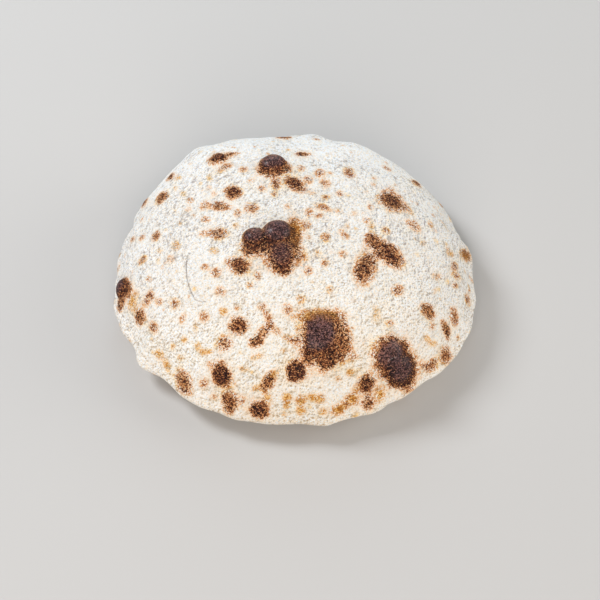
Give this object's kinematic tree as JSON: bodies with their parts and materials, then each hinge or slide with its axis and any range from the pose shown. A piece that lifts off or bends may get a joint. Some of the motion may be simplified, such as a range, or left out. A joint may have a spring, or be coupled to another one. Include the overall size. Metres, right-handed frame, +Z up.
{
  "type": "puffed pita bread",
  "caption": "Round puffed pita bread with a blistered, charred domed top, an uneven sealed seam at its rim and a flat resting base.",
  "frame": {"origin": "middle of the flat base, under the middle of the outline", "axes": "+Z up through the dome, +Y away from the viewer, +X to the viewer's right"},
  "size_m": [0.1708, 0.1688, 0.0555],
  "materials": {
    "crust": "matte floury baked crust, pale cream with brown and black scorch spots"
  },
  "bodies": {
    "root": {"pita": "crust"}
  },
  "joints": []
}
